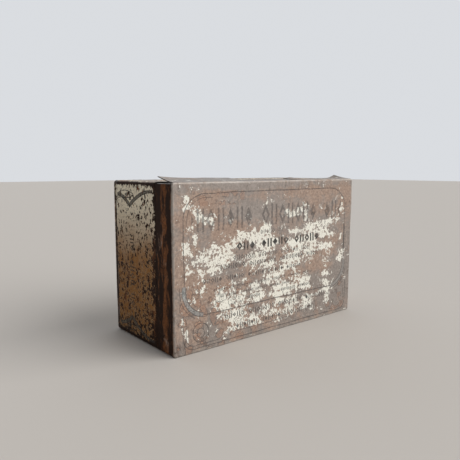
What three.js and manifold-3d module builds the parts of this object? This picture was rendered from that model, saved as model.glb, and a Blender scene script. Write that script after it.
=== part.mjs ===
// A rectangular tinplate box with a hinged rim lid, standing on one of its long narrow sides.
// Frame: millimetres, +Z up, +X along the longest side, the lid on the -Y side.
// The origin is at the middle of the footprint, on the surface that the tin stands on.

import * as THREE from 'three';
import { mergeVertices } from 'three/addons/utils/BufferGeometryUtils.js';
import Module from 'manifold-3d';

// ---- Driving dimensions ----
const WIDTH = 115; // along X
const DEPTH = 51; // along Y, lid face to base panel
const HEIGHT = 72.5; // along Z
const SHEET = 0.4; // tinplate
const PLAY = 0.3; // gap between neighbouring pieces
const CORNER = 1.4; // outer radius of the four long edges
const FOLD = 0.7; // outer radius where a panel turns into its rim

const RIM_DEPTH = 13.2; // lid rim, measured from the lid's face
const FLANGE_DEPTH = 2.4; // base panel's flange, measured from its face

const COLLAR_REACH = 8; // how far the collar goes into the case behind the lid's rim
const COLLAR_DRAW_IN = 1.45; // the collar's lower side bends in this far, so that the lid swings clear of it

const TONGUE_WIDTH = 35; // middle third of the top rim
const SLIT = 0.6; // cut between the tongue and each flap
const PIN_RADIUS = 0.45;
const KNUCKLE_PLAY = 0.2;
const HINGE_SETBACK = 2.2; // pin axis behind the edge of the lid's rim
const KNUCKLES = 5; // the lid has the odd ones, the case the even ones
const STRAP_REACH = 9; // hinge strap behind the pin
const CURL_ANGLE = 290; // how far the tongue's end is rolled, in degrees

// ---- Worked out from them ----
const FRONT = -DEPTH / 2;
const BACK = DEPTH / 2;
const RIM_EDGE = FRONT + RIM_DEPTH;
const MOUTH = FRONT + SHEET + PLAY;
const KNUCKLE_RADIUS = PIN_RADIUS + KNUCKLE_PLAY + SHEET;
const PIN_Y = RIM_EDGE + HINGE_SETBACK;
const PIN_Z = HEIGHT - KNUCKLE_RADIUS;
const STATION = TONGUE_WIDTH / KNUCKLES;

const CURVE_STEPS = 4;
const OVERRUN = 1; // how far a cutting solid runs past what it cuts

const wasm = await Module();
wasm.setup();

// ---- Solids ----
function toSolid(geometry) {
  const bare = geometry.index ? geometry.clone() : geometry;
  bare.deleteAttribute('normal');
  bare.deleteAttribute('uv');
  const merged = mergeVertices(bare, 1e-5);
  return new wasm.Manifold(new wasm.Mesh({
    numProp: 3,
    vertProperties: new Float32Array(merged.attributes.position.array),
    triVerts: new Uint32Array(merged.index.array),
  }));
}

function toGeometry(solid) {
  const mesh = solid.getMesh();
  const geometry = new THREE.BufferGeometry();
  geometry.setAttribute('position', new THREE.BufferAttribute(new Float32Array(mesh.vertProperties), 3));
  geometry.setIndex(new THREE.BufferAttribute(new Uint32Array(mesh.triVerts), 1));
  return geometry;
}

function block(x0, x1, y0, y1, z0, z1) {
  const geometry = new THREE.BoxGeometry(x1 - x0, y1 - y0, z1 - z0);
  geometry.translate((x0 + x1) / 2, (y0 + y1) / 2, (z0 + z1) / 2);
  return toSolid(geometry);
}

// A round-cornered rectangle in the plane y, moved in from the tin's outline by inset on every side,
// and by draw more on its lower side. It runs anticlockwise seen from the lid's side.
function outline({ y, inset, draw = 0 }) {
  const radius = Math.max(CORNER - inset, 0.3);
  const side = WIDTH / 2 - inset - radius;
  const top = HEIGHT - inset - radius;
  const bottom = inset + draw + radius;
  const centres = [[side, bottom, -90], [side, top, 0], [-side, top, 90], [-side, bottom, 180]];
  return centres.flatMap(([x, z, start]) => Array.from({ length: CURVE_STEPS + 1 }, (_, step) => {
    const angle = THREE.MathUtils.degToRad(start + (90 * step) / CURVE_STEPS);
    return [x + radius * Math.cos(angle), y, z + radius * Math.sin(angle)];
  }));
}

// A closed solid through a row of outlines, given from the lid's side to the back.
function drum(stations) {
  const rings = stations.map(outline);
  const count = rings[0].length;
  const middles = [stations[0], stations[stations.length - 1]].map(({ y }) => [0, y, HEIGHT / 2]);
  const points = [...rings.flat(), ...middles];
  const frontMiddle = rings.length * count;
  const backMiddle = frontMiddle + 1;
  const lastRing = (rings.length - 1) * count;
  const faces = [];
  for (let i = 0; i < count; i += 1) {
    const next = (i + 1) % count;
    faces.push(frontMiddle, i, next);
    faces.push(backMiddle, lastRing + next, lastRing + i);
    for (let ring = 0; ring < rings.length - 1; ring += 1) {
      const near = ring * count;
      const far = near + count;
      faces.push(near + i, far + i, far + next);
      faces.push(near + i, far + next, near + next);
    }
  }
  const geometry = new THREE.BufferGeometry();
  geometry.setAttribute('position', new THREE.Float32BufferAttribute(points.flat(), 3));
  geometry.setIndex(faces);
  return toSolid(geometry);
}

// The stations of a folded edge: from the flat of a face, round a quarter circle, to the rim's side.
// inward is +1 where the rim runs towards +Y and -1 where it runs towards -Y.
function foldStations(faceY, inward, inset, radius) {
  return Array.from({ length: CURVE_STEPS + 1 }, (_, step) => {
    const angle = ((Math.PI / 2) * step) / CURVE_STEPS;
    return {
      y: faceY + inward * radius * (1 - Math.cos(angle)),
      inset: inset + radius * (1 - Math.sin(angle)),
    };
  });
}

// A shallow pan of sheet metal: a panel at faceY with a rim all round that ends at edgeY.
function pan(faceY, edgeY) {
  const inward = Math.sign(edgeY - faceY);
  const outer = [...foldStations(faceY, inward, 0, FOLD), { y: edgeY, inset: 0 }];
  const inner = [
    ...foldStations(faceY + inward * SHEET, inward, SHEET, FOLD - SHEET),
    { y: edgeY + inward * OVERRUN, inset: SHEET },
  ];
  const [outerDrum, innerDrum] = [outer, inner].map((list) => drum(inward > 0 ? list : list.reverse()));
  return outerDrum.subtract(innerDrum);
}

// ---- Hinge profiles, drawn in the plane across the pin: first number towards the back, second up ----
function acrossPin(points, x0, x1) {
  const shape = new THREE.Shape(points.map(([back, up]) => new THREE.Vector2(back, up)));
  const geometry = new THREE.ExtrudeGeometry(shape, { depth: x1 - x0, bevelEnabled: false, steps: 1 });
  // The shape's own axes become +Y and +Z, and its depth becomes +X.
  geometry.applyMatrix4(new THREE.Matrix4().makeBasis(
    new THREE.Vector3(0, 1, 0),
    new THREE.Vector3(0, 0, 1),
    new THREE.Vector3(1, 0, 0),
  ));
  geometry.translate(x0, PIN_Y, PIN_Z);
  return toSolid(geometry);
}

function arc(radius, fromDegrees, toDegrees, steps) {
  return Array.from({ length: steps + 1 }, (_, step) => {
    const angle = THREE.MathUtils.degToRad(fromDegrees + ((toDegrees - fromDegrees) * step) / steps);
    return [radius * Math.cos(angle), radius * Math.sin(angle)];
  });
}

const CURL_STEPS = 20;
const CURL_BORE = KNUCKLE_RADIUS - SHEET;

function tongueKnuckle(x0, x1) {
  const front = FRONT + FOLD - PIN_Y;
  return acrossPin([
    [front, KNUCKLE_RADIUS - SHEET],
    ...arc(CURL_BORE, 90, 90 - CURL_ANGLE, CURL_STEPS),
    ...arc(KNUCKLE_RADIUS, 90 - CURL_ANGLE, 90, CURL_STEPS),
    [front, KNUCKLE_RADIUS],
  ], x0, x1);
}

// ---- Pieces ----

// How far a flap of the top rim is bent up, and how deep it is, at a place along X.
// share runs from 0 at its inner end, beside the tongue, to 1 at the tin's corner.
const FLAPS = [
  {
    side: -1,
    lift: (share) => 1.4 + 0.9 * Math.max(0, (share - 0.55) / 0.45) ** 1.5,
    depth: (share) => RIM_DEPTH - 0.6 * Math.max(0, (share - 0.85) / 0.15),
  },
  {
    side: 1,
    lift: (share) => 0.25 + 0.75 * Math.exp(-(((share - 0.13) / 0.12) ** 2))
      + 2.25 * Math.max(0, (share - 0.84) / 0.16) ** 2,
    depth: (share) => RIM_DEPTH - 2.1 * Math.max(0, (share - 0.84) / 0.16),
  },
];
const FLAP_COLUMNS = 14;
const FLAP_ROWS = 3;

function flap({ side, lift, depth }) {
  const inner = TONGUE_WIDTH / 2 + SLIT;
  const outer = WIDTH / 2 - SHEET;
  const hem = FRONT + FOLD;
  const layers = [0, -SHEET].map((offset) => {
    const points = [];
    for (let row = 0; row <= FLAP_ROWS; row += 1) {
      for (let column = 0; column <= FLAP_COLUMNS; column += 1) {
        const share = column / FLAP_COLUMNS;
        const back = row / FLAP_ROWS;
        points.push([
          side * (inner + (outer - inner) * share),
          hem + (depth(share) - FOLD) * back,
          HEIGHT + offset + lift(share) * back ** 1.3,
        ]);
      }
    }
    return points;
  });
  const points = layers.flat();
  const columns = FLAP_COLUMNS + 1;
  const layer = layers[0].length;
  const faces = [];
  const quad = (a, b, c, d) => faces.push(...(side > 0 ? [a, b, c, a, c, d] : [a, c, b, a, d, c]));
  const at = (row, column, level) => level * layer + row * columns + column;
  for (let row = 0; row < FLAP_ROWS; row += 1) {
    for (let column = 0; column < FLAP_COLUMNS; column += 1) {
      quad(at(row, column, 0), at(row, column + 1, 0), at(row + 1, column + 1, 0), at(row + 1, column, 0));
      quad(at(row, column, 1), at(row + 1, column, 1), at(row + 1, column + 1, 1), at(row, column + 1, 1));
    }
    const last = FLAP_COLUMNS;
    quad(at(row, 0, 0), at(row + 1, 0, 0), at(row + 1, 0, 1), at(row, 0, 1));
    quad(at(row, last, 0), at(row, last, 1), at(row + 1, last, 1), at(row + 1, last, 0));
  }
  for (let column = 0; column < FLAP_COLUMNS; column += 1) {
    const last = FLAP_ROWS;
    quad(at(0, column, 0), at(0, column, 1), at(0, column + 1, 1), at(0, column + 1, 0));
    quad(at(last, column, 0), at(last, column + 1, 0), at(last, column + 1, 1), at(last, column, 1));
  }
  const geometry = new THREE.BufferGeometry();
  geometry.setAttribute('position', new THREE.Float32BufferAttribute(points.flat(), 3));
  geometry.setIndex(faces);
  return toSolid(geometry);
}

function lidShell() {
  const half = WIDTH / 2 + OVERRUN;
  const topRim = block(-half, half, FRONT + FOLD, RIM_EDGE + OVERRUN, HEIGHT - SHEET - PLAY, HEIGHT + OVERRUN);
  let lid = pan(FRONT, RIM_EDGE).subtract(topRim);
  // A strip behind the fold joins the panel's top edge to the tongue and the flaps.
  const strip = block(-WIDTH / 2 + SHEET, WIDTH / 2 - SHEET, FRONT + SHEET, FRONT + FOLD + PLAY,
    HEIGHT - SHEET, HEIGHT);
  lid = lid.add(strip);
  FLAPS.forEach((bent) => {
    lid = lid.add(flap(bent));
  });
  // The tongue lies flat as far as the knuckles, and between them it stops short of the case's knuckles.
  const plateEnd = PIN_Y - KNUCKLE_RADIUS - PLAY;
  lid = lid.add(block(-TONGUE_WIDTH / 2, TONGUE_WIDTH / 2, FRONT + FOLD, plateEnd, HEIGHT - SHEET, HEIGHT));
  for (let knuckle = 0; knuckle < KNUCKLES; knuckle += 2) {
    const start = -TONGUE_WIDTH / 2 + knuckle * STATION;
    lid = lid.add(tongueKnuckle(start, start + STATION));
  }
  return lid;
}

// The slot in the case and the collar that the knuckles turn in.
function hingeSlot(frontY) {
  const half = TONGUE_WIDTH / 2 + SLIT;
  const backY = PIN_Y + KNUCKLE_RADIUS + 2 * PLAY;
  return block(-half, half, frontY, backY, HEIGHT - 4 * KNUCKLE_RADIUS, HEIGHT + OVERRUN);
}

function caseWall() {
  const start = RIM_EDGE + PLAY;
  const end = BACK - SHEET - PLAY;
  const under = SHEET + PLAY; // the wall goes in this far, under the base panel's flange
  const necked = BACK - FLANGE_DEPTH - PLAY;
  const shoulder = necked - SHEET;
  const outer = drum([
    { y: start, inset: 0 },
    { y: shoulder, inset: 0 },
    { y: necked, inset: under },
    { y: end, inset: under },
  ]);
  const inner = drum([
    { y: start - OVERRUN, inset: SHEET },
    { y: shoulder - SHEET, inset: SHEET },
    { y: necked - SHEET, inset: SHEET + under },
    { y: end + OVERRUN, inset: SHEET + under },
  ]);
  return outer.subtract(inner).subtract(hingeSlot(start - OVERRUN));
}

function throatCollar() {
  const inset = SHEET + PLAY;
  const end = RIM_EDGE + COLLAR_REACH;
  const shape = (extra, overrun) => [
    { y: MOUTH - overrun, inset: inset + extra, draw: COLLAR_DRAW_IN },
    { y: MOUTH, inset: inset + extra, draw: COLLAR_DRAW_IN },
    { y: RIM_EDGE + PLAY, inset: inset + extra },
    { y: end + overrun, inset: inset + extra },
  ];
  const outer = drum(shape(0, 0).slice(1));
  const inner = drum(shape(SHEET, OVERRUN));
  return outer.subtract(inner).subtract(hingeSlot(RIM_EDGE - PLAY - SHEET));
}

function basePanel() {
  return pan(BACK, BACK - FLANGE_DEPTH);
}

function hingeStrap() {
  const wallInside = HEIGHT - SHEET - PLAY;
  const collarInside = wallInside - SHEET - PLAY;
  const plateTop = collarInside - PIN_Z;
  const plateBottom = plateTop - 2 * SHEET; // the strap is folded double behind the pin
  const meet = Math.sqrt(KNUCKLE_RADIUS ** 2 - plateTop ** 2);
  const plateEnd = STRAP_REACH;
  const knuckleRing = (x0, x1) => {
    const ring = acrossPin(arc(KNUCKLE_RADIUS, 0, 360 - 360 / CURL_STEPS, CURL_STEPS - 1), x0, x1);
    const bore = acrossPin(
      arc(CURL_BORE, 0, 360 - 360 / CURL_STEPS, CURL_STEPS - 1), x0 - OVERRUN, x1 + OVERRUN);
    const neck = acrossPin([
      [CURL_BORE + SHEET / 2, plateBottom],
      [meet + 2 * PLAY, plateBottom],
      [meet + 2 * PLAY, plateTop],
      [CURL_BORE + SHEET / 2, plateTop],
    ], x0, x1);
    return ring.add(neck).subtract(bore);
  };
  let strap = acrossPin([
    [meet + PLAY, plateBottom],
    [plateEnd, plateBottom],
    [plateEnd, plateTop],
    [meet + PLAY, plateTop],
  ], -TONGUE_WIDTH / 2, TONGUE_WIDTH / 2);
  for (let knuckle = 1; knuckle < KNUCKLES; knuckle += 2) {
    const start = -TONGUE_WIDTH / 2 + knuckle * STATION;
    strap = strap.add(knuckleRing(start + PLAY, start + STATION - PLAY));
  }
  return strap;
}

function hingePin() {
  const geometry = new THREE.CylinderGeometry(PIN_RADIUS, PIN_RADIUS, TONGUE_WIDTH, 16);
  geometry.rotateZ(Math.PI / 2);
  geometry.translate(0, PIN_Y, PIN_Z);
  return toSolid(geometry);
}

// ---- Materials ----
const wornPrint = new THREE.MeshStandardMaterial({ color: 0x9a8a7c, roughness: 0.55, metalness: 0.6 });
const creamPrint = new THREE.MeshStandardMaterial({ color: 0xb9ae92, roughness: 0.5, metalness: 0.3 });
const bareTinplate = new THREE.MeshStandardMaterial({ color: 0x8f8b84, roughness: 0.4, metalness: 0.9 });
const darkWire = new THREE.MeshStandardMaterial({ color: 0x4a4038, roughness: 0.5, metalness: 0.9 });

// ---- Assembly ----
const tin = new THREE.Group();
const pieces = [
  ['case_wall', caseWall, creamPrint],
  ['throat_collar', throatCollar, bareTinplate],
  ['base_panel', basePanel, creamPrint],
  ['hinge_strap', hingeStrap, bareTinplate],
  ['hinge_pin', hingePin, darkWire],
  ['lid_shell', lidShell, wornPrint],
];
pieces.forEach(([name, make, material]) => {
  const mesh = new THREE.Mesh(toGeometry(make()), material);
  mesh.name = name;
  tin.add(mesh);
});

export default tin;
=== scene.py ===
"""Looks of an old rectangular box of lithographed tinplate with a hinged rim lid.

Lengths here are millimetres in the frame's axes: X along the tin, Y from the lid to the back, Z up.
They become metres where a mesh is written. A material reads a piece's Object coordinates and turns
them back to millimetres, so a pattern stays on its sheet when the lid swings.
"""

import math

import bpy
import numpy as np
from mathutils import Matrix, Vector


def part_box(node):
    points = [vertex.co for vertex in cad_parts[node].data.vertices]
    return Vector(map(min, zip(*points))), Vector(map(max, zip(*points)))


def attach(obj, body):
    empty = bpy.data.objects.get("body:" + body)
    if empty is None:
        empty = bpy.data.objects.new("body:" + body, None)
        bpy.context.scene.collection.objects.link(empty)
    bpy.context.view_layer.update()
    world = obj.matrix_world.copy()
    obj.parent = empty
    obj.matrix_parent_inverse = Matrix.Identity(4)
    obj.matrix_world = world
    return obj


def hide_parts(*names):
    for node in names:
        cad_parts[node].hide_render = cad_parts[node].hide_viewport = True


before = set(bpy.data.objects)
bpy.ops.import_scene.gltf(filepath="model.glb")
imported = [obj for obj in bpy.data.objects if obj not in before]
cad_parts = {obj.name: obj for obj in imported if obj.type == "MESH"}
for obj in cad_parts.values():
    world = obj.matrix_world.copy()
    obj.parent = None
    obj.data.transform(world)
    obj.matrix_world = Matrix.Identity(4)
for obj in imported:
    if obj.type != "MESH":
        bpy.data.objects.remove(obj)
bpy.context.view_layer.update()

MM = 0.001


# ---------------------------------------------------------------- sizes, from the frame
def node_box(node):
    """A CAD node's lowest and highest corner."""
    return np.array(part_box(node)) / MM


lid_low = node_box("lid_shell")[0]
wall_low, wall_high = node_box("case_wall")
collar_low, collar_high = node_box("throat_collar")
base_low, base_high = node_box("base_panel")
strap_low, strap_high = node_box("hinge_strap")
pin_low, pin_high = node_box("hinge_pin")

WIDTH = wall_high[0] - wall_low[0]
HEIGHT = wall_high[2] - wall_low[2]
FRONT = lid_low[1]
BACK = base_high[1]
WALL_FRONT = wall_low[1]
FLANGE_EDGE = base_low[1]
COLLAR_FRONT = collar_low[1]
COLLAR_END = collar_high[1]
PIN_Y = (pin_low[1] + pin_high[1]) / 2
PIN_Z = (pin_low[2] + pin_high[2]) / 2
PIN_RADIUS = (pin_high[2] - pin_low[2]) / 2
TONGUE_WIDTH = pin_high[0] - pin_low[0]

SHEET = 0.34  # tinplate
CORNER = 1.4  # radius of the four long edges
FOLD = 0.75  # radius where a panel turns into its rim
GAP = 0.3  # between the lid's rim and the wall
RIM_EDGE = WALL_FRONT - GAP
SLIT = 0.6  # cut between the tongue and each flap
SLOT = TONGUE_WIDTH / 2 + SLIT  # half the width of the opening for the tongue
KNUCKLES = 5  # the lid has the odd ones, the case the even ones
STATION = TONGUE_WIDTH / KNUCKLES
KNUCKLE_RADIUS = HEIGHT - PIN_Z
CURL_ANGLE = math.radians(290)  # how far the tongue's end is rolled round the pin
PLATE_END = PIN_Y - KNUCKLE_RADIUS - GAP  # where the tongue's flat part ends
SLOT_END = PIN_Y + KNUCKLE_RADIUS + 2 * GAP  # how far back the slot for the knuckles reaches
STRAP = 0.78  # thickness of the strap, folded double
STRAP_TOP = 0.82  # height of its upper face over the lowest point of the CAD node
COLLAR_INSET = (WIDTH - (collar_high[0] - collar_low[0])) / 2
COLLAR_BEND = 1.45  # how far the collar's lower side bends in at the mouth
LAP_LOW = 13.0  # the free edge of the wall's lap, on its right side
LAP_HIGH = 17.5  # where the lap is flat again
LAP_STEP = 0.28
CELL = 0.75  # size of a sheet's cells
FOLD_ROWS = 6
RIM_ROWS = 18
CURL_ROWS = 22


# ---------------------------------------------------------------- shapes
def ripple(points, wavelength, seed):
    """A smooth uneven field from about -1 to 1: the sum of nine sine waves whose directions are drawn
    from the seed."""
    draw = np.random.default_rng(seed)
    ways = draw.normal(size=(9, 3))
    ways /= np.linalg.norm(ways, axis=1, keepdims=True)
    lengths = wavelength * draw.uniform(0.6, 1.5, (9, 1))
    phases = draw.uniform(0, 2 * np.pi, 9)
    return np.sin(2 * np.pi * points @ (ways / lengths).T + phases).sum(axis=1) / 4


def step_up(value, low, high):
    """0 below low, 1 above high, and the smooth cubic between."""
    share = np.clip((value - low) / (high - low), 0, 1)
    return share * share * (3 - 2 * share)


def places(half, corner, stops=()):
    """Places from -half to half about a cell apart, one at each stop and two cells in each corner."""
    core = half - corner
    marks = sorted({-core, core, *stops})
    runs = [
        np.linspace(a, b, max(1, round((b - a) / CELL)), endpoint=False)
        for a, b in zip(marks, marks[1:])]
    return np.concatenate([[-half, -half + corner / 2], *runs, [core, half - corner / 2, half]])


def spread(low, high, count):
    """Places from just after low to high, in count equal steps."""
    return low + (high - low) * np.arange(1, count + 1) / count


class Skin:
    """One side of a sheet: points, and the quads between them, which face outwards."""

    def __init__(self):
        self.points = np.zeros((0, 3))
        self.quads = np.zeros((0, 4), int)

    def add_points(self, points):
        """Adds a block of points of any shape and returns their numbers in the same shape."""
        first = len(self.points)
        self.points = np.vstack([self.points, points.reshape(-1, 3)])
        return first + np.arange(points.size // 3).reshape(points.shape[:-1])

    def add_quads(self, a, b, c, d, keep=None):
        """Adds the quads whose four corners are the four blocks of numbers, where keep is true."""
        quads = np.stack([a, b, c, d], axis=-1)
        quads = quads.reshape(-1, 4) if keep is None else quads[keep]
        self.quads = np.vstack([self.quads, quads])

    def flip(self):
        """Turns the quads to face the other way."""
        self.quads = self.quads[:, ::-1]

    def push(self, amount):
        """Moves the points outwards along their normals."""
        self.points = self.points + vertex_directions(self.points, self.quads) * amount[:, None]


def add_panel(skin, xs, zs, corner, y):
    """A flat grid in the plane y, whose four square corners are drawn in to quarter circles: in a corner,
    a point's offset from the circle's centre is shrunk by its longer part over its length."""
    x, z = np.meshgrid(xs, zs)
    core_x = xs[-1] - corner
    middle = (zs[0] + zs[-1]) / 2
    core_z = (zs[-1] - zs[0]) / 2 - corner
    over_x = np.maximum(np.abs(x) - core_x, 0)
    over_z = np.maximum(np.abs(z - middle) - core_z, 0)
    length = np.hypot(over_x, over_z)
    shrink = np.maximum(over_x, over_z) / np.where(length > 0, length, 1)
    in_corner = (over_x > 0) & (over_z > 0)
    x = np.where(in_corner, np.sign(x) * (core_x + over_x * shrink), x)
    z = np.where(in_corner, middle + np.sign(z - middle) * (core_z + over_z * shrink), z)
    numbers = skin.add_points(np.stack([x, np.full_like(x, y), z], -1))
    skin.add_quads(numbers[:-1, :-1], numbers[:-1, 1:], numbers[1:, 1:], numbers[1:, :-1])
    return np.concatenate([numbers[0, :-1], numbers[:-1, -1], numbers[-1, :0:-1], numbers[:0:-1, 0]])


def outline(inset=0, stops=()):
    """The tin's outline moved in by inset: its places along X and Z, then core points and outward
    directions. A place on the outline is its core point plus its direction times the corner's radius less
    its own inset. It runs anticlockwise from the lower left, seen from the lid."""
    corner = CORNER - inset
    xs = places(WIDTH / 2 - inset, corner, stops)
    zs = HEIGHT / 2 + places(HEIGHT / 2 - inset, corner)
    scratch = Skin()
    loop = add_panel(scratch, xs, zs, corner, 0)
    rim = scratch.points[loop][:, [0, 2]]
    middle = np.array([0, HEIGHT / 2])
    half = np.array([xs[-1] - corner, (zs[-1] - zs[0]) / 2 - corner])
    core = middle + np.clip(rim - middle, -half, half)
    away = rim - core
    return xs, zs, core, away / np.linalg.norm(away, axis=1, keepdims=True)


def skirt(core, away, rows):
    """Rows of points round the outline, one for each (y, inset)."""
    y, inset = np.array(rows).T
    flat = core[None] + away[None] * (CORNER - inset)[:, None, None]
    return np.stack([flat[..., 0], np.broadcast_to(y[:, None], flat.shape[:2]), flat[..., 1]], -1)


def join_rows(skin, numbers, keep=None):
    """Quads between rows of numbers that close on themselves, facing out when the rows run to +Y."""
    beside = np.roll(numbers, -1, axis=1)
    skin.add_quads(numbers[:-1], numbers[1:], beside[1:], beside[:-1], keep)


def fold_rows(face, inward):
    """Rows of a quarter circle from the face to the rim's side, without the face's own edge."""
    angle = np.pi / 2 * np.arange(1, FOLD_ROWS + 1) / FOLD_ROWS
    return np.stack([face + inward * FOLD * (1 - np.cos(angle)), FOLD * (1 - np.sin(angle))], -1)


def vertex_directions(points, faces):
    """Unit normals at the points: the sum of the faces' cross products of diagonals."""
    corner = points[faces]
    cross = np.cross(corner[:, 2] - corner[:, 0], corner[:, 3] - corner[:, 1])
    total = np.zeros_like(points)
    for side in range(4):
        np.add.at(total, faces[:, side], cross)
    return total / np.maximum(np.linalg.norm(total, axis=1, keepdims=True), 1e-12)


def write_mesh(name, points, faces, materials, kinds=None, fields=None, sharp=45):
    """A mesh object at the origin, in metres, with each face's kind as its material."""
    mesh = bpy.data.meshes.new(name)
    mesh.from_pydata((points * MM).tolist(), [], [list(map(int, face)) for face in faces])
    for material in materials:
        mesh.materials.append(material)
    if kinds is not None:
        mesh.polygons.foreach_set("material_index", np.asarray(kinds, np.int32))
    for field, values in (fields or {}).items():
        mesh.attributes.new(field, "FLOAT", "POINT").data.foreach_set("value", values.astype(np.float32))
    mesh.shade_smooth()
    mesh.set_sharp_from_angle(angle=math.radians(sharp))
    mesh.update()
    piece = bpy.data.objects.new(name, mesh)
    bpy.context.scene.collection.objects.link(piece)
    return piece


def sheet_metal(name, skin, materials, fields=None):
    """A closed sheet: the outer skin, an inner skin moved in along the normals by the sheet's thickness,
    and a strip along every open edge. fields are worked out on the outer skin's points."""
    used, faces = np.unique(skin.quads, return_inverse=True)
    faces = faces.reshape(-1, 4)
    points = skin.points[used]
    count = len(points)
    inner = points - vertex_directions(points, faces) * SHEET
    starts, ends = faces.ravel(), np.roll(faces, -1, axis=1).ravel()
    open_edge = ~np.isin(starts * count + ends, ends * count + starts)
    starts, ends = starts[open_edge], ends[open_edge]
    strip = np.stack([ends, starts, starts + count, ends + count], -1)
    every = np.vstack([faces, faces[:, ::-1] + count, strip])
    kinds = np.repeat([0, 1, 2], [len(faces), len(faces), len(strip)])
    values = {key: np.tile(make(points), 2) for key, make in (fields or {}).items()}
    return write_mesh(name, np.vstack([points, inner]), every, materials, kinds, values)


def tube_round(name, path, radii, sides, materials):
    """A closed ring of round section: at each path point, a circle in the plane of the path's outward
    direction and its cross product with the path's tangent."""
    tangent = np.roll(path, -1, axis=0) - np.roll(path, 1, axis=0)
    tangent /= np.linalg.norm(tangent, axis=1, keepdims=True)
    side = np.cross(tangent, [0, 1, 0])
    side /= np.linalg.norm(side, axis=1, keepdims=True)
    along = np.cross(side, tangent)
    angle = 2 * np.pi * np.arange(sides) / sides
    ring = side[:, None] * np.cos(angle)[None, :, None] + along[:, None] * np.sin(angle)[None, :, None]
    points = path[:, None] + ring * radii[:, None, None]
    numbers = np.arange(points.size // 3).reshape(points.shape[:2])
    ahead, beside = np.roll(numbers, -1, axis=0), np.roll(numbers, -1, axis=1)
    ahead_beside = np.roll(ahead, -1, axis=1)
    faces = np.stack([numbers, beside, ahead_beside, ahead], -1).reshape(-1, 4)
    return write_mesh(name, points.reshape(-1, 3), faces, materials)


def turned_along_x(name, profile, sides, y, z, materials):
    """A solid of revolution round an X axis, from a profile of (x, radius) that starts and ends at a
    small radius, with a flat face at each end."""
    x, radius = np.array(profile).T
    angle = 2 * np.pi * np.arange(sides) / sides
    points = np.stack([
        np.broadcast_to(x[:, None], (len(x), sides)),
        y + radius[:, None] * np.cos(angle),
        z + radius[:, None] * np.sin(angle),
    ], -1)
    numbers = np.arange(points.size // 3).reshape(points.shape[:2])
    beside = np.roll(numbers, -1, axis=1)
    faces = np.stack([numbers[:-1], beside[:-1], beside[1:], numbers[1:]], -1).reshape(-1, 4).tolist()
    faces += [numbers[0, ::-1].tolist(), numbers[-1].tolist()]
    return write_mesh(name, points.reshape(-1, 3), faces, materials)


def bars_along_x(name, bars, materials):
    """Closed bars along X. A bar is a profile of (y, z), anticlockwise seen from +X, and its two ends."""
    points, faces = [], []
    for profile, x0, x1 in bars:
        count = len(profile)
        first = sum(map(len, points))
        near = first + np.arange(count)
        far = near + count
        for x in (x0, x1):
            points.append(np.column_stack([np.full(count, x), profile]))
        faces += np.stack([near, np.roll(near, -1), np.roll(far, -1), far], -1).tolist()
        faces += [near[::-1].tolist(), far.tolist()]
    return write_mesh(name, np.vstack(points), faces, materials)


# ---------------------------------------------------------------- pieces
def flap_share(x):
    """0 at a flap's inner end, beside the tongue, and 1 at the tin's corner."""
    return (np.abs(x) - SLOT) / (WIDTH / 2 - SLOT)


def flap_lift(x):
    """How far the free edge of a flap is bent up, at a place along X."""
    share = flap_share(x)
    left = 1.2 + 1.3 * np.maximum(0, (share - 0.5) / 0.5) ** 1.5
    hump = 0.75 * np.exp(-(((share - 0.13) / 0.12) ** 2))
    right = 0.25 + hump + 2.9 * np.maximum(0, (share - 0.84) / 0.16) ** 2
    return np.where(x < 0, left, right)


def flap_depth(x):
    """How deep a flap is at a place along X: its corner is pulled forward."""
    full = RIM_EDGE - FRONT
    return full - np.where(x < 0, 0.6, 2.1) * np.maximum(0, (flap_share(x) - 0.84) / 0.16)


def dent(points):
    """Old tinplate isn't flat: long waves and a few short ones, none beside the hinge."""
    wave = 0.16 * ripple(points, 46, 3) + 0.05 * ripple(points, 14, 4) + 0.018 * ripple(points, 5, 8)
    near = np.hypot(np.maximum(np.abs(points[:, 0]) - TONGUE_WIDTH / 2 - 2, 0), points[:, 2] - HEIGHT) < 4
    hinge_side = near & (points[:, 1] > FRONT + 4)
    return np.where(hinge_side, 0, wave)


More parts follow.
